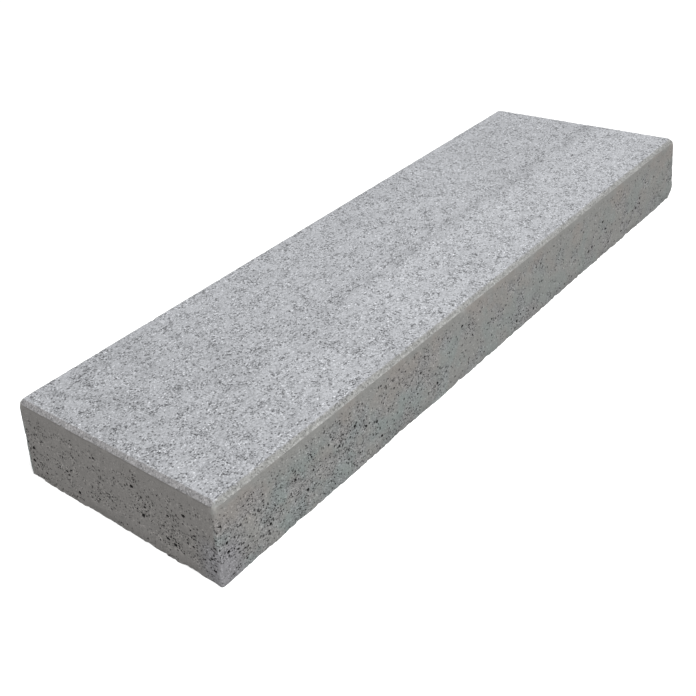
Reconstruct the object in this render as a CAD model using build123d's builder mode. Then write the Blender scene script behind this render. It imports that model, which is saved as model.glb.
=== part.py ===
from build123d import *
import os

# A concrete block step: one pressed piece with a bevel all round its tread.
# +X runs along the length, +Y across it, +Z up; the origin is the middle of the foot face.

# Overall sizes in millimetres: the length is taken along the upper edges, above the leaning ends
length = 1000.0
width = 320.0
height = 100.0

# Each end face leans out by this much between its upper edge and the foot
end_draft = 12.0

# The bevel round the tread: its run across the top and its drop down the sides
bevel_run = 5.0
bevel_drop = 5.0

# Rounding of the four upright corners, which runs on through the bevel to the tread
corner_radius = 4.0

# The broken corner of the foot, measured from the point where its three faces would meet
chip_along = 16.0
chip_across = 10.0
chip_up = 15.0

# Sizes that follow from those
foot_length = length + 2 * end_draft
shoulder_height = height - bevel_drop
rim_length = length - 2 * bevel_run
rim_width = width - 2 * bevel_run

# The break passes through one point on each edge of the foot corner at +X, -Y, and faces outwards
corner_x = foot_length / 2
corner_y = -width / 2
corner_lean = end_draft * chip_up / shoulder_height
break_along = Vector(corner_x - chip_along, corner_y, 0)
break_across = Vector(corner_x, corner_y + chip_across, 0)
break_up = Vector(corner_x - corner_lean, corner_y, chip_up)
break_normal = (break_across - break_along).cross(break_up - break_along)
break_plane = Plane(origin=break_along, x_dir=break_across - break_along, z_dir=break_normal)

os.makedirs("parts", exist_ok=True)

# The step: the drafted body up to the shoulder, the bevel on top of it, and the broken corner
with BuildPart() as block_step:
    with BuildSketch(Plane.XY):
        RectangleRounded(foot_length, width, corner_radius)
    with BuildSketch(Plane.XY.offset(shoulder_height)):
        RectangleRounded(length, width, corner_radius)
    with BuildSketch(Plane.XY.offset(height)):
        RectangleRounded(rim_length, rim_width, corner_radius)
    loft(ruled=True)
    split(bisect_by=break_plane, keep=Keep.BOTTOM)

block_step.part.label = "block_step"
export_step(block_step.part, "parts/block_step.step")
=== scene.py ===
import bmesh
import bpy
import math
import random
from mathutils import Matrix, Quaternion, Vector


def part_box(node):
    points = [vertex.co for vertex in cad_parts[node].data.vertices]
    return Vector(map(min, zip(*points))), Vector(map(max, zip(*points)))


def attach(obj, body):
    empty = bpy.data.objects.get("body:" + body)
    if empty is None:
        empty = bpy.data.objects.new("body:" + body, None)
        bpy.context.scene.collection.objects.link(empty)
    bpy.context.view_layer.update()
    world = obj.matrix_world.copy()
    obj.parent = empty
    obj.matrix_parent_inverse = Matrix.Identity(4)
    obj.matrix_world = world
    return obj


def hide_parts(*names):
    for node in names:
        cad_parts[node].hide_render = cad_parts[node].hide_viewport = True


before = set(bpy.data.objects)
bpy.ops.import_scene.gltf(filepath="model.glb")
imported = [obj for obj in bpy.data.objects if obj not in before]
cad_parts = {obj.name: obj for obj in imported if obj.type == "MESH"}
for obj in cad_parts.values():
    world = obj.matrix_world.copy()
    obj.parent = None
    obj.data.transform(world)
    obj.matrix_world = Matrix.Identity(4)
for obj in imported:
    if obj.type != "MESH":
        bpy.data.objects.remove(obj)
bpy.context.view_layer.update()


# The block: one piece of dry grey concrete, rammed into a steel mould and pushed out while still green.
# The mould gives it ends that lean out towards the foot, rounded upright corners and a bevelled tread.
# Here it is blocked out as a cube at its real size and shaped face by face.
foot_low, foot_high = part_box("block_step")
foot_length = foot_high.x - foot_low.x
block_width = foot_high.y - foot_low.y
block_height = foot_high.z
end_draft = 0.012
bevel_run = 0.005
bevel_drop = 0.005
corner_radius = 0.004
corner_steps = 3
half_length = foot_length / 2
half_width = block_width / 2
shoulder = block_height - bevel_drop
rim_x = half_length - end_draft - bevel_run
rim_y = half_width - bevel_run
inner_x = rim_x - corner_radius
inner_y = rim_y - corner_radius
weld = 0.0004
nearly_level = 0.9
along, across, upward = 0, 1, 2


def pick(kind, test):
    """Leaves selected only those vertices, edges or faces of the mesh in edit mode that pass the test."""
    bpy.ops.mesh.select_mode(type=kind)
    bpy.ops.mesh.select_all(action="DESELECT")
    shape = bmesh.from_edit_mesh(bpy.context.object.data)
    found = {"VERT": shape.verts, "EDGE": shape.edges, "FACE": shape.faces}[kind]
    for item in found:
        if test(item):
            item.select_set(True)
    shape.select_flush_mode()
    bmesh.update_edit_mesh(bpy.context.object.data)


def span(edge, axis):
    """How far an edge reaches along one axis."""
    return abs(edge.verts[0].co[axis] - edge.verts[1].co[axis])


bpy.ops.object.select_all(action="DESELECT")
bpy.ops.mesh.primitive_cube_add(
    size=1, location=(0, 0, shoulder / 2), scale=(foot_length, block_width, shoulder)
)
block = bpy.context.object
block.name = "pressed_block"
block.data.name = "pressed_block"
bpy.ops.object.transform_apply(location=True, rotation=True, scale=True)
bpy.ops.object.mode_set(mode="EDIT")
for side in (-1, 1):
    pick("VERT", lambda v: v.co.z > shoulder / 2 and v.co.x * side > 0)
    bpy.ops.transform.translate(value=(-side * end_draft, 0, 0))
pick("FACE", lambda f: f.normal.z > nearly_level)
bpy.ops.mesh.inset(thickness=bevel_run)
bpy.ops.transform.translate(value=(0, 0, bevel_drop))
pick("EDGE", lambda e: span(e, upward) > weld)
bpy.ops.mesh.bevel(
    offset=corner_radius, offset_type="ABSOLUTE", segments=corner_steps, affect="EDGES"
)

# The skin of the block is cut into small fields, close enough to take pores, drag marks and worn edges.
# The foot lies flat on its bed and gets wider ones, with a narrow border along its two ends.
wall_step = 0.003
tread_step = 0.0036
foot_every = 4
foot_border = 0.006
bevel_rows = 3
corner_fields = 4
bays = 17
rows = round(shoulder / wall_step)
lanes = round(2 * inner_y / tread_step)
fields = round(2 * inner_x / bays / wall_step)


def cut(point, normal, **settings):
    """Cuts what is selected along a plane."""
    bpy.ops.mesh.bisect(plane_co=point, plane_no=normal, **settings)


def cut_through(point, normal, **settings):
    """Cuts the whole block along a plane."""
    bpy.ops.mesh.select_all(action="SELECT")
    cut(point, normal, **settings)


def on_foot(edge):
    """True for the edges that cross the foot, away from its two ends."""
    return all(v.co.z < weld and abs(v.co.x) < inner_x + weld for v in edge.verts)


def at_wall_end(edge):
    """True for the edges along a long wall that run from its last full field to the upright corner."""
    on_wall = all(abs(v.co.y) > half_width - weld and abs(v.co.x) > inner_x - weld for v in edge.verts)
    return on_wall and span(edge, along) > corner_radius


for side in (-1, 1):
    cut_through((side * inner_x, 0, 0), (1, 0, 0))
    cut_through((0, side * inner_y, 0), (0, 1, 0))
levels = [shoulder * row / rows for row in range(1, rows)]
levels += [shoulder + bevel_drop * row / bevel_rows for row in range(1, bevel_rows)]
for level in levels:
    cut_through((0, 0, level), (0, 0, 1))
pick("EDGE", lambda e: span(e, along) > rim_x)
bpy.ops.mesh.subdivide(number_cuts=bays - 1)
pick("EDGE", lambda e: span(e, along) > rim_x / bays)
bpy.ops.mesh.subdivide(number_cuts=fields - 1)
pick("EDGE", lambda e: span(e, across) > rim_y and not on_foot(e))
bpy.ops.mesh.subdivide(number_cuts=lanes - 1)
for lane in range(foot_every, lanes, foot_every):
    pick("FACE", lambda f: f.normal.z < -nearly_level)
    cut((0, inner_y * (2 * lane / lanes - 1), 0), (0, 1, 0))
pick("EDGE", at_wall_end)
bpy.ops.mesh.subdivide(number_cuts=corner_fields - 1)
for side in (-1, 1):
    pick("FACE", lambda f: f.normal.z < -nearly_level)
    cut((side * (half_length - foot_border), 0, 0), (1, 0, 0))

# One corner of the foot has broken away, and the break is a small slanting face. It is cut off in one
# slice and closed, and its new face is divided so that it can take a rough grain.
chip_along = 0.016
chip_across = 0.010
chip_up = 0.015
chip_rings = 3
same_slant = 0.99
corner = Vector((half_length, -half_width, 0))
break_along = corner - Vector((chip_along, 0, 0))
break_across = corner + Vector((0, chip_across, 0))
break_up = corner + Vector((-end_draft * chip_up / shoulder, 0, chip_up))
break_normal = (break_across - break_along).cross(break_up - break_along).normalized()


def in_break(face):
    """True for the faces of the break."""
    return face.normal.dot(break_normal) > same_slant


cut_through(break_along, break_normal, use_fill=True, clear_outer=True)
pick("FACE", in_break)
bpy.ops.mesh.poke()
pick("EDGE", lambda e: all(in_break(f) for f in e.link_faces))
bpy.ops.mesh.subdivide(number_cuts=chip_rings - 1)
bpy.ops.mesh.select_all(action="SELECT")
bpy.ops.mesh.remove_doubles(threshold=weld)
bpy.ops.mesh.normals_make_consistent(inside=False)
bpy.ops.object.mode_set(mode="OBJECT")


# Ramming and drawing leave the skin uneven: shallow waves, drag marks that run upwards, nicked edges
# and a ragged arris at the foot. The skin is sound under the bevel and opens up in patches lower down.
# The relief only goes into the block, and keeps by name the tread, the bevel, and what is open or torn.
class Wire:
    """One output of a node, so that the sums between nodes read as Python sums."""

    def __init__(self, socket):
        self.socket = socket

    def node(self, kind, settings=None, inputs=None, output=0):
        """Adds a node beside this one: its settings first, then the values or wires of its inputs."""
        tree = self.socket.id_data
        made = tree.nodes.new(kind)
        for name, value in (settings or {}).items():
            setattr(made, name, value)
        for name, value in (inputs or {}).items():
            if isinstance(value, Wire):
                tree.links.new(value.socket, made.inputs[name])
            else:
                made.inputs[name].default_value = value
        return Wire(made.outputs[output])

    def sum(self, operation, *values):
        """One Math node on plain values."""
        return self.node("ShaderNodeMath", {"operation": operation}, dict(enumerate(values)))

    def vector_sum(self, operation, *values, output=0):
        """One Vector Math node on places, directions or colours."""
        inputs = dict(enumerate(values))
        return self.node("ShaderNodeVectorMath", {"operation": operation}, inputs, output)

    def __add__(self, other):
        return self.sum("ADD", self, other)

    def __sub__(self, other):
        return self.sum("SUBTRACT", self, other)

    def __rsub__(self, other):
        return self.sum("SUBTRACT", other, self)

    def __mul__(self, other):
        return self.sum("MULTIPLY", self, other)

    def __abs__(self):
        return self.sum("ABSOLUTE", self)

    __radd__ = __add__
    __rmul__ = __mul__

    def least(self, other):
        """The smaller of two values."""
        return self.sum("MINIMUM", self, other)

    def most(self, other):
        """The larger of two values."""
        return self.sum("MAXIMUM", self, other)

    def swing(self):
        """A pattern's value less the 0.5 that it has in the middle."""
        return self - 0.5

    def axes(self):
        """The three coordinates of this place, each as a wire."""
        split = self.node("ShaderNodeSeparateXYZ", {}, {0: self})
        return [Wire(output) for output in split.socket.node.outputs]

    def reach(self, other):
        """How far this place is from another one."""
        return self.vector_sum("DISTANCE", self, other, output=1)

    def ramp(self, low, high, start=0.0, end=1.0):
        """Runs smoothly from start to end while this value goes from low to high."""
        settings = {"interpolation_type": "SMOOTHSTEP"}
        inputs = {"Value": self, "From Min": low, "From Max": high, "To Min": start, "To Max": end}
        return self.node("ShaderNodeMapRange", settings, inputs)

    def stretched(self, *stretch):
        """This place, with each of its coordinates multiplied by a number of its own."""
        return self.vector_sum("MULTIPLY", self, stretch)

    def moved(self, *steps):
        """This place, shifted, so that a second pattern doesn't lie over the first."""
        return self.vector_sum("ADD", self, steps)

    def grain(self, size, detail=2.0, roughness=0.5):
        """Cloudy noise of about this size in metres, from this position, about 0.5 in the middle."""
        inputs = {"Vector": self, "Scale": 1 / size, "Detail": detail, "Roughness": roughness}
        return self.node("ShaderNodeTexNoise", {}, inputs)


def scaled(way, factor):
    """A direction or a colour made larger or smaller by a factor."""
    return factor.node("ShaderNodeVectorMath", {"operation": "SCALE"}, {0: way, "Scale": factor})


def named(skin, label, domain, value):
    """Keeps a value on the skin under a name, for the finish to read."""
    settings = {"data_type": "FLOAT", "domain": domain}
    inputs = {"Geometry": skin, "Name": label, "Value": value}
    return skin.node("GeometryNodeStoreNamedAttribute", settings, inputs)


relief = bpy.data.node_groups.new("relief", "GeometryNodeTree")
relief.interface.new_socket("Skin", in_out="INPUT", socket_type="NodeSocketGeometry")
relief.interface.new_socket("Skin", in_out="OUTPUT", socket_type="NodeSocketGeometry")
smooth_skin = Wire(relief.nodes.new("NodeGroupInput").outputs[0])
spot = smooth_skin.node("GeometryNodeInputPosition")
outward = smooth_skin.node("GeometryNodeInputNormal")
spot_x, spot_y, spot_z = spot.axes()
facing_up = outward.axes()[2]

# Where the skin is open: more of it low down, in the near half, at the front corner and high on the ends.
# The torn places are small clusters of broken pores, each listed where the real block has one.
open_size = 0.030
open_fade = 0.5
open_range = (0.43, 0.58)
open_under = (shoulder - 0.006, shoulder - 0.020)
front_x = (0.055 - half_length, 0.015 - half_length)
front_y = (-0.12, -0.15)
front_z = (0.070, 0.040)
front_opening = 0.10
near_half_x = (-0.10, -0.40)
near_end_x = (-0.500, -0.485)
near_opening = 0.04
end_x = (half_length - 0.018, half_length - 0.012)
end_balance = 0.045
end_opening = 0.7
torn_reach = (0.0085, 0.0035)
torn_places = (
    (-0.506, -0.038, 0.077), (-0.506, -0.102, 0.055), (-0.506, -0.126, 0.045), (-0.317, -0.160, 0.057),
    (-0.368, -0.160, 0.068), (-0.392, -0.160, 0.058), (-0.418, -0.160, 0.039), (-0.438, -0.160, 0.030),
    (-0.473, -0.160, 0.018), (-0.494, -0.160, 0.043),
)
front_corner = spot_x.ramp(*front_x) * spot_y.ramp(*front_y) * spot_z.ramp(*front_z)
near_half = spot_x.ramp(*near_half_x) * spot_x.ramp(*near_end_x)
on_end = abs(spot_x).ramp(*end_x)
open_noise = spot.moved(0.4, 0.8, 0.5).grain(open_size, 3.0, 0.6) - spot_z * open_fade
open_noise = open_noise + front_corner * front_opening + near_half * near_opening
open_noise = open_noise + on_end * (spot_z - end_balance) * end_opening
opened = open_noise.ramp(*open_range) * spot_z.ramp(*open_under)
torn = spot_z * 0.0
for torn_place in torn_places:
    torn = torn + spot.reach(torn_place).ramp(*torn_reach)

# How deep the walls and the tread are marked. What is taken off last leaves the sound skin where it is.
wave_size = 0.09
wave_depth = 0.0012
lump_size = 0.014
lump_depth = 0.0006
drag_size = 0.005
drag_squeeze = 0.18
drag_depth = 0.0005
fine_size = 0.006
fine_depth = 0.0004
open_fine_depth = 0.0010
sound_depth = 0.0010
least_depth = 0.0003
tread_wave_depth = 0.0005
tread_fine_depth = 0.0006
tread_sound_depth = 0.0003
waves = spot.grain(wave_size, 1.0)
lumps = spot.grain(lump_size, 2.0)
drags = spot.stretched(1, 1, drag_squeeze).grain(drag_size, 2.0)
fine = spot.moved(0.7, 0.2, 0.4).grain(fine_size, 3.0, 0.8)
side_depth = waves * wave_depth + lumps * lump_depth + drags * drag_depth
side_depth = side_depth + fine * (opened * open_fine_depth + fine_depth)
side_depth = (side_depth - sound_depth).most(least_depth)
tread_depth = waves * tread_wave_depth + fine * tread_fine_depth
tread_depth = (tread_depth - tread_sound_depth).most(0.0)

# The edges: nicks along the bevel, and waves and bites in the arris of the foot, spared at its corners.
nick_size = 0.010
nick_range = (0.54, 0.78)
nick_depth = 0.0010
nick_drop = 0.0008
nick_height = 0.004
rim_strip = 0.005
foot_wave_size = 0.050
foot_wave_range = (0.38, 0.66)
foot_wave_height = 0.012
foot_wave_depth = 0.0013
foot_bite_size = 0.009
foot_bite_range = (0.46, 0.72)
foot_bite_height = 0.006
foot_bite_depth = 0.0012
foot_bite_lift = 0.0010
arris_below = (-0.90, -0.65)
arris_above = (-0.30, -0.55)
spared_share = 0.8
end_strip = (half_length - 0.022, half_length - 0.008)
side_strip = (half_width - 0.010, half_width - 0.001)
nicks = spot.moved(0.3, 0.9, 0.1).grain(nick_size, 2.0, 0.7).ramp(*nick_range)
inside_rim = (rim_x - abs(spot_x)).least(rim_y - abs(spot_y)).ramp(0.0, rim_strip)
at_bevel = spot_z.ramp(shoulder - nick_height, shoulder) * (1 - inside_rim)
at_corner = abs(spot_x).ramp(*end_strip) * abs(spot_y).ramp(*side_strip)
foot_waves = spot.moved(0.5, 0.1, 0.8).grain(foot_wave_size, 2.0, 0.6).ramp(*foot_wave_range)
foot_bites = spot.moved(0.1, 0.6, 0.2).grain(foot_bite_size, 2.0, 0.7).ramp(*foot_bite_range)
foot_depth = foot_waves * spot_z.ramp(foot_wave_height, 0.0) * foot_wave_depth
foot_depth = foot_depth + foot_bites * spot_z.ramp(foot_bite_height, 0.0) * foot_bite_depth
foot_depth = foot_depth * (1 - at_corner * spared_share)
foot_lift = facing_up.ramp(*arris_below) * facing_up.ramp(*arris_above) * foot_bites * foot_bite_lift

# The upright corners: wear that grows towards the foot, softer tops and two pairs of small knocks.
corner_wear_size = 0.008
corner_wear_range = (0.40, 0.75)
corner_wear_depth = 0.0006
full_wear_height = 0.03
top_wear = 0.2
corner_top = 0.006
corner_top_depth = 0.0020
knock_reach = (0.0045, 0.0010)
knock_depth = 0.0010
knocks = (
    (-0.5052, 0.1562, 0.0520), (-0.5056, 0.1555, 0.0455),
    (0.5030, -0.1594, 0.0490), (0.5005, -0.1598, 0.0475),
)
corner_wear = spot.moved(0.9, 0.4, 0.3).grain(corner_wear_size, 2.0, 0.7).ramp(*corner_wear_range)
corner_wear = corner_wear * spot_z.ramp(shoulder, full_wear_height, start=top_wear)
softening = spot_z.ramp(shoulder - corner_top, shoulder)
corner_depth = at_corner * (corner_wear * corner_wear_depth + softening * corner_top_depth)
for knock in knocks:
    corner_depth = corner_depth + spot.reach(knock).ramp(*knock_reach) * knock_depth

# The break: a rough grain, on its slanting face alone.
break_size = 0.005
break_depth = 0.0024
break_range = (-0.0004, -0.0001)
break_reach = spot.vector_sum("DOT_PRODUCT", spot, break_normal, output=1)
on_break = (break_reach - break_along.dot(break_normal)).ramp(*break_range)
break_step = on_break * spot.grain(break_size, 2.0, 0.6) * break_depth

# All of it together: the walls and corners go inwards, the tread down, and the arris of the foot up.
tread_facing = (0.90, 0.95)
bevel_facing = (0.4, 0.5)
side_share = spot_z.ramp(block_height, shoulder)
side_step = side_share * (side_depth + corner_depth) + foot_depth + at_bevel * nicks * nick_depth
top_step = (1 - side_share) * tread_depth + at_bevel * nicks * nick_drop
side_way = outward.stretched(1, 1, 0)
side_way = side_way.vector_sum("NORMALIZE", side_way)
step = spot_z.node("ShaderNodeCombineXYZ", {}, {"Z": foot_lift - top_step})
step = step.vector_sum("ADD", scaled(side_way, side_step * -1), step)
step = step.vector_sum("ADD", step, scaled(outward, break_step * -1))
is_tread = facing_up.ramp(*tread_facing)
is_bevel = facing_up.ramp(*bevel_facing) * facing_up.ramp(*reversed(tread_facing))
kept_skin = named(smooth_skin, "tread", "FACE", is_tread)
kept_skin = named(kept_skin, "bevel", "FACE", is_bevel)
kept_skin = named(kept_skin, "opened", "POINT", opened)
kept_skin = named(kept_skin, "torn", "POINT", torn)
rough_skin = kept_skin.node("GeometryNodeSetPosition", {}, {"Geometry": kept_skin, "Offset": step})
relief.links.new(rough_skin.socket, relief.nodes.new("NodeGroupOutput").inputs[0])
bpy.ops.object.modifier_add(type="NODES")
block.modifiers[-1].node_group = relief
bpy.ops.object.modifier_apply(modifier=block.modifiers[-1].name)

# Air trapped against the mould has left pores in the walls, most of them in the open patches. A small
# one is one field of the skin and a wide one is four, inset, blunted at its corners and pushed in.
wide_fields = 4
pore_kinds = (
    {"fields": 1, "margin": 0.00080, "blunting": 0.00040, "uneven": 0.00010, "sinking": 0.0011},
    {"fields": 1, "margin": 0.00060, "blunting": 0.00050, "uneven": 0.00012, "sinking": 0.0015},
    {"fields": wide_fields, "margin": 0.00175, "blunting": 0.00070, "uneven": 0.00018, "sinking": 0.0022},
    {"fields": wide_fields, "margin": 0.00120, "blunting": 0.00100, "uneven": 0.00025, "sinking": 0.0032},
)
small_kinds = [number for number, pore in enumerate(pore_kinds, start=1) if pore["fields"] == 1]
wide_kinds = [number for number, pore in enumerate(pore_kinds, start=1) if pore["fields"] == wide_fields]
small_share = 0.15
small_gathering = 1.5
stray_share = 0.04
wide_share = 0.036
least_opening = 0.3
torn_small_share = 0.55
torn_wide_share = 0.10
clear_of_foot = 0.005
clear_of_shoulder = 0.008
clear_of_chip = 0.022
most_lean = 0.4
field_sides = 4
blunted_sides = 8
smooth_angle = 28
chance = random.Random(23)


def free_field(field, layer):
    """True for a four-sided field of a wall, clear of the break, that is no pore yet."""
    middle = field.calc_center_median()
    upright = abs(field.normal.z) < most_lean and len(field.verts) == field_sides
    in_band = clear_of_foot < middle.z < shoulder - clear_of_shoulder
    return upright and in_band and field[layer] == 0 and (middle - corner).length > clear_of_chip


def pore_test(number, sides):
    """A test for the fields of one kind of pore that have at least so many sides."""
    layer = bmesh.from_edit_mesh(block.data).faces.layers.int["pore_kind"]
    return lambda f: f[layer] == number and len(f.verts) >= sides


bpy.ops.object.mode_set(mode="EDIT")
shape = bmesh.from_edit_mesh(block.data)
pore_kind = shape.faces.layers.int.new("pore_kind")
shape.faces.layers.float.new("painted_pit_shade")
opened_here = shape.verts.layers.float["opened"]
torn_here = shape.verts.layers.float["torn"]
for point in shape.verts:
    openness = max(0.0, point[opened_here] - least_opening)
    likely = wide_share * openness + torn_wide_share * point[torn_here]
    if chance.random() < likely:
        around = list(point.link_faces)
        beside = [near for field in around for touched in field.verts for near in touched.link_faces]
        if len(around) == wide_fields and all(free_field(field, pore_kind) for field in beside):
            kind = chance.choice(wide_kinds)
            for field in around:
                field[pore_kind] = kind
for field in shape.faces:
    openness = sum(point[opened_here] for point in field.verts) / len(field.verts)
    tearing = sum(point[torn_here] for point in field.verts) / len(field.verts)
    likely = small_share * (openness ** small_gathering + stray_share) + torn_small_share * tearing
    if chance.random() < likely and free_field(field, pore_kind):
        field[pore_kind] = chance.choice(small_kinds)

for number, pore in enumerate(pore_kinds, start=1):
    pick("FACE", pore_test(number, field_sides))
    if number in wide_kinds:
        bpy.ops.mesh.dissolve_faces()
    bpy.ops.mesh.inset(thickness=pore["margin"], use_individual=True)
    bpy.ops.mesh.bevel(offset=pore["blunting"], affect="VERTICES")
    pick("FACE", pore_test(number, blunted_sides))
    bpy.ops.transform.vertex_random(offset=pore["uneven"], uniform=1.0, seed=number)
    # The faces of each pore are marked here, so that the finish darkens them with painted shade.
    shape = bmesh.from_edit_mesh(block.data)
    painted_pit_shade = shape.faces.layers.float["painted_pit_shade"]
    for field in shape.faces:
        if field.select:
            field[painted_pit_shade] = 1.0
    narrowing = pore["blunting"] / 2
    bpy.ops.mesh.inset(
        thickness=narrowing, depth=-pore["sinking"], use_individual=True, use_even_offset=False
    )
bpy.ops.object.mode_set(mode="OBJECT")
bpy.ops.object.shade_smooth_by_angle(angle=math.radians(smooth_angle))


# Pressed concrete: sand grains show light and dark on the tread, and the walls have a browner skin of
# cement paste that is smooth under the bevel and open, streaked and full of pinholes lower down.
# Grains, specks and pinholes of about a millimetre are drawn here, over the shape's own relief.
def blend(share, first, second):
    """Mixes two colours, share being how much there is of the second."""
    return share.node("ShaderNodeMix", {"data_type": "RGBA"}, {0: share, 6: first, 7: second}, 2)


def grains(place, size):
    """Sand grains of about this size, each with a lot drawn for it from 0 to 1."""
    cells = place.node("ShaderNodeTexVoronoi", {}, {"Vector": place, "Scale": 1 / size})
    return Wire(cells.socket.node.outputs["Color"]).axes()[0]


def dots(place, size, reach, share):
    """Round spots in cells of this size: how far the largest reaches, and the share of cells with one."""
    smallest = 0.4
    softness = 0.06
    cells = place.node("ShaderNodeTexVoronoi", {}, {"Vector": place, "Scale": 1 / size})
    lots = Wire(cells.socket.node.outputs["Color"]).axes()
    edge = cells - (lots[1] * (1 - smallest) + smallest) * reach
    return edge.ramp(softness, -softness) * (lots[0] - share).ramp(0.01, -0.01)


def worms(place, size, width):
    """Short winding marks: the size of their bends, and how wide they are drawn."""
    lines = abs(place.grain(size, 1.5, 0.5).swing()).ramp(width, width * 0.4)
    breaks = place.moved(0.3, 0.7, 0.2).grain(size * 0.9, 1.0).ramp(0.46, 0.54)
    return lines * breaks


def kept(skin, label):
    """A value that the relief has kept on the skin under this name."""
    return skin.node("ShaderNodeAttribute", {"attribute_name": label}, {}, 2)


concrete = bpy.data.materials.new("pressed_concrete")
concrete.use_nodes = True
skin = concrete.node_tree.nodes["Principled BSDF"]
place = Wire(concrete.node_tree.nodes.new("ShaderNodeTexCoord").outputs["Object"])
place_x, place_y, place_z = place.axes()
on_tread = kept(place, "tread")
on_bevel = kept(place, "bevel")
on_wall = 1 - on_tread - on_bevel
on_long_side = abs(place_y).ramp(rim_y - 0.002, rim_y + 0.001)
open_skin = kept(place, "opened")
torn_skin = kept(place, "torn")

# The concrete itself, as it shows everywhere: sand, grains, winding marks between them, and wide clouds.
sand_size = 0.0022
fine_grain_size = 0.0015
large_grain_size = 0.0027
patch_size = 0.026
cloud_size = 0.09
sandy_size = 0.020
mark_size = 0.0066
fine_mark_size = 0.0042
mark_width = 0.070
loose_size = 0.0025
loose_reach = 0.54
sand_contrast = 0.9
fine_contrast = 0.60
large_contrast = 0.08
patch_contrast = 0.32
cloud_contrast = 0.20
sand = place.grain(sand_size, 2.0, 0.8)
fine_grains = grains(place, fine_grain_size)
large_grains = grains(place.moved(0.2, 0.5, 0.7), large_grain_size)
patches = place.moved(0.3, 0.3, 0.8).grain(patch_size, 3.0, 0.65)
clouds = place.moved(0.6, 0.3, 0.2).grain(cloud_size, 2.0, 0.5)
sandy = place.moved(0.5, 0.2, 0.6).grain(sandy_size, 3.0, 0.7).ramp(0.40, 0.60)
marks = worms(place, mark_size, mark_width)
fine_marks = worms(place.moved(0.9, 0.1, 0.4), fine_mark_size, mark_width)
loose_share = 0.14 + sandy * 0.32
dark_grains = dots(place, loose_size, loose_reach, loose_share)
light_grains = dots(place.moved(0.4, 0.6, 0.1), loose_size, loose_reach, loose_share)
grain_shade = large_grains.swing() * large_contrast + fine_grains.swing() * fine_contrast
grain_shade = grain_shade + sand.swing() * sand_contrast
broad_shade = patches.swing() * patch_contrast + clouds.swing() * cloud_contrast

# The tread: pale and sandy, with a darker streak along it, a paler band beside that and a duller near end.
tread_colour = (0.520, 0.531, 0.556)
tread_level = 1.04
tread_mark = 0.34
tread_fine_mark = 0.44
tread_dark_grain = 0.60
tread_light_grain = 0.50
# Painted light: the tread is made lighter from the near end to the far end.
far_painted_light = 0.06
streak_y = -0.018
streak_wander = 0.02
streak_range = (0.014, 0.003)
streak_x = (-0.24, -0.10)
streak_dark = 0.13
band_y = (-0.020, -0.055)
band_x = (-0.28, -0.06)
band_light = 0.050
dull_slant = 0.3
dull_wander = 0.10
dull_x = (-0.26, -0.34)
dull_y = (-0.16, -0.05)
dull_dark = 0.050
streak = abs(place_y - streak_y + patches.swing() * streak_wander).ramp(*streak_range)
streak = streak * place_x.ramp(*streak_x) * patches.ramp(0.30, 0.60, 1.0, 0.6)
pale_band = place_y.ramp(*band_y) * place_x.ramp(*band_x)
dull_end = (place_x - place_y * dull_slant + patches.swing() * dull_wander).ramp(*dull_x)
dull_end = dull_end * place_y.ramp(*dull_y, start=0.5)
# The first term is painted light that grows towards the far end; the streak, band and dull end are tone.
area_tone_and_painted_light = place_x * far_painted_light + pale_band * band_light - streak * streak_dark - dull_end * dull_dark
tread_shade = tread_level + grain_shade * (0.5 + sandy * 0.5) + broad_shade + area_tone_and_painted_light
tread_marks = marks * tread_mark + fine_marks * tread_fine_mark
tread_shade = tread_shade * (1 - tread_marks * (0.35 + sandy * 0.65))
tread_shade = tread_shade * (1 - dark_grains * tread_dark_grain) * (1 + light_grains * tread_light_grain)
tread = scaled(tread_colour, tread_shade)

# The bevel: a narrow band of smoother, darker paste. Its inner edge wanders, and on the long sides it
# fades further into the tread and has a lighter arris, partly wear and partly painted highlight.
sandy_bevel = (0.412, 0.405, 0.410, 1)
smooth_bevel = (0.395, 0.397, 0.385, 1)
wander_size = 0.008
end_wander = 0.003
long_wander = 0.007
near_fade = 0.0018
far_fade = 0.0022
bevel_grain = 0.95
bevel_broad = 0.6
bevel_mark = 0.14
bevel_dark_grain = 0.34
bevel_light_grain = 0.30
arris_highlight_and_wear = 0.12
rim_wander = place.moved(0.2, 0.2, 0.9).grain(wander_size, 3.0, 0.8).swing()
rim_wander = rim_wander * (end_wander + on_long_side * long_wander)
to_rim = (rim_x - abs(place_x)).least(rim_y - abs(place_y)) + rim_wander
rim_blend = on_long_side * (near_fade + place_x.ramp(-0.35, 0.25) * far_fade)
near_rim = to_rim.ramp(rim_blend + 0.0012, -0.0008 - rim_blend * 0.5)
# Partly wear and partly painted highlight: a light line along the lower arris of the long-side bevel.
highlit_worn_arris = place_z.ramp(shoulder - 0.0012, shoulder - 0.0002)
highlit_worn_arris = highlit_worn_arris * place_z.ramp(shoulder + 0.0022, shoulder + 0.0008)
highlit_worn_arris = highlit_worn_arris * on_long_side * place_x.ramp(0.2, -0.2, start=0.1)
bevel_shade = 1 + grain_shade * (bevel_grain - on_long_side * 0.15) + broad_shade * bevel_broad
bevel_shade = bevel_shade * (1 - marks * bevel_mark - dark_grains * bevel_dark_grain)
bevel_shade = bevel_shade * (1 + highlit_worn_arris * arris_highlight_and_wear)
bevel_shade = bevel_shade * (1 + light_grains * (bevel_light_grain - on_long_side * 0.10))
bevel = scaled(blend(on_long_side, sandy_bevel, smooth_bevel), bevel_shade)
top_side = blend(near_rim, tread, bevel)
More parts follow.
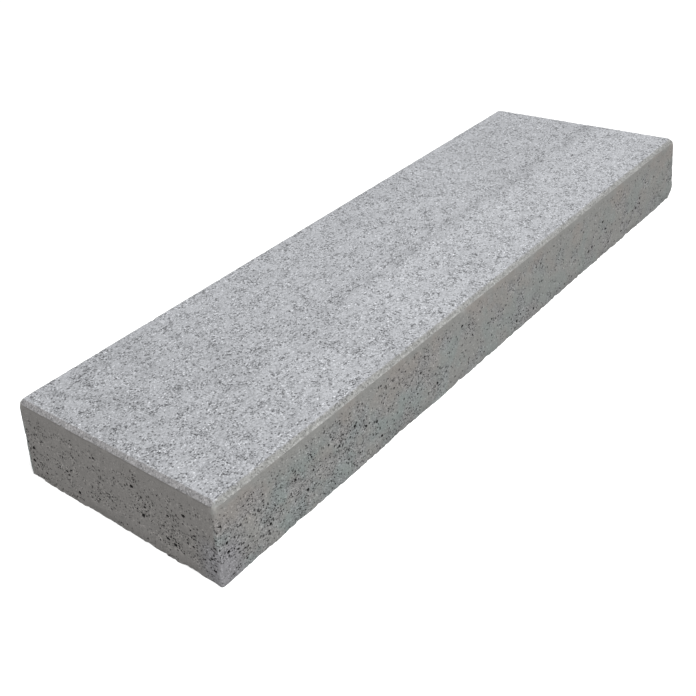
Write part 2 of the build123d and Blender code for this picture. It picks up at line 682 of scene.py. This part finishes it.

# The walls: cement paste with drag streaks, specks, and pinholes with painted shade in them where the skin
# is open or torn. The long sides are greyer, with green, warm and lilac stains, and the ends browner.
wall_colour = (0.49, 0.49, 0.472, 1)
end_colour = (0.465, 0.448, 0.431, 1)
green_tint = (0.455, 0.505, 0.49, 1)
warm_tint = (0.518, 0.490, 0.462, 1)
lilac_tint = (0.482, 0.477, 0.497, 1)
drag_streak_size = 0.004
drag_streak_squeeze = 0.15
drag_streak_contrast = 0.2
stain_size = 0.05
stained_x = (0.050 - half_length, 0.020 - half_length)
stained_z = (0.060, 0.035)
rougher_x = (-0.05, -0.40)
pinhole_size = 0.0042
pinhole_reach = 0.38
# Painted shade: each pinhole is darkened as if shaded inside.
pinhole_painted_shade = 0.74
speck_size = 0.0023
speck_reach = 0.52
# Dark specks are sand grains, and in the torn places they are also painted shade of small broken pores.
dark_speck_and_pore_shade = 0.60
speck_light = 0.38
wall_mark = 0.14
wall_fine_mark = 0.12
wall_broad = 0.16
open_light = 0.06
# Painted shade: the walls are made darker towards the far end.
far_painted_shade = 0.06
sound_band = (shoulder - 0.003, shoulder - 0.010)
streaks = place.stretched(1, 1, drag_streak_squeeze).grain(drag_streak_size, 2.0, 0.6)
front_stain = place_x.ramp(*stained_x) * place_y.ramp(*front_y) * place_z.ramp(*stained_z)
rougher = 0.06 + place_x.ramp(*rougher_x) * (0.05 + on_long_side * 0.05) + front_stain * 0.04
pinhole_share = open_skin * 0.26 + rougher + torn_skin * 0.6
speck_share = open_skin * 0.30 + rougher * 2 + torn_skin * 0.5
light_speck_share = open_skin * 0.28 + rougher * 2
pinholes = dots(place, pinhole_size, pinhole_reach, pinhole_share)
specks = dots(place.moved(0.5, 0.5, 0.5), speck_size, speck_reach, speck_share)
light_specks = dots(place.moved(0.1, 0.5, 0.7), speck_size, speck_reach, light_speck_share)
below_band = place_z.ramp(*sound_band)
wall_shade = 1.0 + grain_shade * (0.16 + below_band * 0.16 + open_skin * 0.3)
wall_shade = wall_shade + streaks.swing() * drag_streak_contrast
wall_shade = wall_shade + broad_shade * wall_broad + open_skin * open_light
wall_marks = (marks * wall_mark + fine_marks * wall_fine_mark) * (0.2 + open_skin * 0.8)
wall_shade = wall_shade * (1 - wall_marks * below_band)
wall_shade = wall_shade * (1 - pinholes * below_band * pinhole_painted_shade)
wall_shade = wall_shade * (1 - specks * below_band * dark_speck_and_pore_shade)
# The last factor is painted shade that darkens the walls towards the far end.
wall_shade = wall_shade * (1 + light_specks * below_band * speck_light) * (1 - place_x * far_painted_shade)
green = place.moved(0.1, 0.9, 0.6).grain(stain_size, 3.0).ramp(0.42, 0.58) * on_long_side
green = green * place_z.ramp(shoulder - 0.005, shoulder - 0.035) * place_x.ramp(-0.35, 0.15, 1.0, 0.5)
warm = place.moved(0.8, 0.1, 0.9).grain(stain_size, 3.0).ramp(0.45, 0.62)
warm = warm * place_z.ramp(shoulder - 0.07, shoulder - 0.01, start=0.15) * on_long_side
lilac = open_skin * (0.2 + clouds * 0.8) * 0.6 * on_long_side
wall_paste = blend(green, blend(on_long_side, end_colour, wall_colour), green_tint)
wall_paste = blend(warm, wall_paste, warm_tint)
wall_paste = blend(lilac.most(front_stain), wall_paste, lilac_tint)

# The edges of the walls: a darker line under the bevel at the ends, painted highlight on the upright
# corners, and painted shade in the knocks.
arris_dark = 0.16
corner_highlight_gain = 0.14
knock_painted_shade = 0.25
knock_shade_spot = (0.0028, 0.0012)
dark_arris = place_z.ramp(shoulder - 0.0026, shoulder - 0.0012) * (1 - on_long_side)
# Painted highlight: a lighter line down the upright corners, broken up in patches.
side_reach = half_length - place_z * (end_draft / shoulder)
corner_highlight_line = (abs(place_x) - side_reach).ramp(-0.0050, -0.0020)
corner_highlight_line = corner_highlight_line * abs(place_y).ramp(half_width - 0.0050, half_width - 0.0015)
corner_highlight_line = corner_highlight_line * patches.ramp(0.35, 0.6)
wall_shade = wall_shade * (1 - dark_arris * arris_dark) * (1 + corner_highlight_line * corner_highlight_gain)
# Painted shade in each knock, darkest at its middle.
for knock in knocks:
    wall_shade = wall_shade * place.reach(knock).ramp(*knock_shade_spot, start=1.0, end=knock_painted_shade)
walls = scaled(wall_paste, wall_shade)

# The finish: top and walls are put together, the pores get painted shade inside, and the grain stands up a
# little.
pore_painted_shade = 0.84
sheen = 0.3
roughness_level = 0.86
bump_strength = 0.8
bump_height = 0.0008
colour = blend(on_tread + on_bevel, walls, top_side)
# Painted shade: the inside of every pore is darkened.
colour = scaled(colour, 1 - kept(place, "painted_pit_shade") * pore_painted_shade)
roughness = roughness_level + sand * 0.14 - (1 - open_skin) * on_wall * 0.06
bumps = sand * (0.3 + on_tread * 0.4) + large_grains * 0.15 + fine_grains * 0.2
bumps = bumps - (pinholes + specks * 0.5) * on_wall * 0.8 + (light_grains - dark_grains) * on_tread * 0.5
bumps = bumps - (marks + fine_marks * 0.6) * (on_tread * 0.35 + open_skin * on_wall * 0.35)
bump_inputs = {"Strength": bump_strength, "Distance": bump_height, "Height": bumps}
bump = place.node("ShaderNodeBump", {}, bump_inputs)
links = concrete.node_tree.links
links.new(colour.socket, skin.inputs["Base Color"])
links.new(roughness.socket, skin.inputs["Roughness"])
links.new(bump.socket, skin.inputs["Normal"])
skin.inputs["Specular IOR Level"].default_value = sheen
block.data.materials.clear()
block.data.materials.append(concrete)
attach(block, "root")
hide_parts("block_step")


# The ground under the block: a plain pale floor that shows white and keeps the block's soft shadow.
# It glows a little where the camera sees it, so that it is white without more light on the block.
ground_size = 7
ground_colour = (0.35, 0.35, 0.35, 1)
ground_glow = 0.5
white = (1, 1, 1, 1)
black = (0, 0, 0, 1)
bpy.ops.mesh.primitive_plane_add(size=ground_size, location=(0, 0, 0))
ground = bpy.context.object
ground.name = "ground"
pale = bpy.data.materials.new("pale_ground")
pale.use_nodes = True
pale_skin = pale.node_tree.nodes["Principled BSDF"]
seen = Wire(pale.node_tree.nodes.new("ShaderNodeLightPath").outputs["Is Camera Ray"])
pale_links = pale.node_tree.links
pale_links.new(blend(seen, ground_colour, white).socket, pale_skin.inputs["Base Color"])
pale_links.new(blend(seen, black, white).socket, pale_skin.inputs["Emission Color"])
pale_skin.inputs["Emission Strength"].default_value = ground_glow
pale_skin.inputs["Roughness"].default_value = 1.0
pale_skin.inputs["Specular IOR Level"].default_value = 0.0
ground.data.materials.append(pale)


# Studio light: an even surround that shows white, and one wide soft lamp high over the block, a little
# to the side of its long face.
surround_light = 0.3
world = bpy.data.worlds.new("surround")
bpy.context.scene.world = world
world.use_nodes = True
backdrop = world.node_tree.nodes["Background"]
path = world.node_tree.nodes.new("ShaderNodeLightPath")
direct = Wire(path.outputs["Is Camera Ray"])
shiny = Wire(path.outputs["Is Glossy Ray"])
through = Wire(path.outputs["Is Transmission Ray"])
surround = surround_light + direct.most(shiny.most(through)) * (1 - surround_light)
world.node_tree.links.new(surround.socket, backdrop.inputs["Strength"])
backdrop.inputs["Color"].default_value = white
lamp_from = Vector((-0.05, -0.32, 0.95)).normalized()
lamp_distance = 4.0
lamp_size = 2.0
lamp_power = 120.0
lamp = bpy.data.lights.new("soft_lamp", "AREA")
lamp.shape = "SQUARE"
lamp.size = lamp_size
lamp.energy = lamp_power
lamp_stand = bpy.data.objects.new("soft_lamp", lamp)
bpy.context.scene.collection.objects.link(lamp_stand)
lamp_stand.location = lamp_from * lamp_distance
lamp_stand.rotation_euler = lamp_from.to_track_quat("Z", "Y").to_euler()


# The camera stands off the near end and looks down along the block, rolled a little to its left.
# Its place and lens are those at which the block's edges fall on the photograph's.
camera_place = Vector((-0.912, -0.7406, 0.704))
camera_aim = Vector((-0.1699, -0.0445, 0.050))
camera_roll = math.radians(-6.84)
camera_lens = 50.86
camera_data = bpy.data.cameras.new("camera")
camera_data.lens = camera_lens
camera = bpy.data.objects.new("camera", camera_data)
bpy.context.scene.collection.objects.link(camera)
camera.location = camera_place
gaze = (camera_aim - camera_place).to_track_quat("-Z", "Y")
camera.rotation_euler = (gaze @ Quaternion((0, 0, 1), camera_roll)).to_euler()
bpy.context.scene.camera = camera
bpy.context.scene.view_settings.view_transform = "Standard"
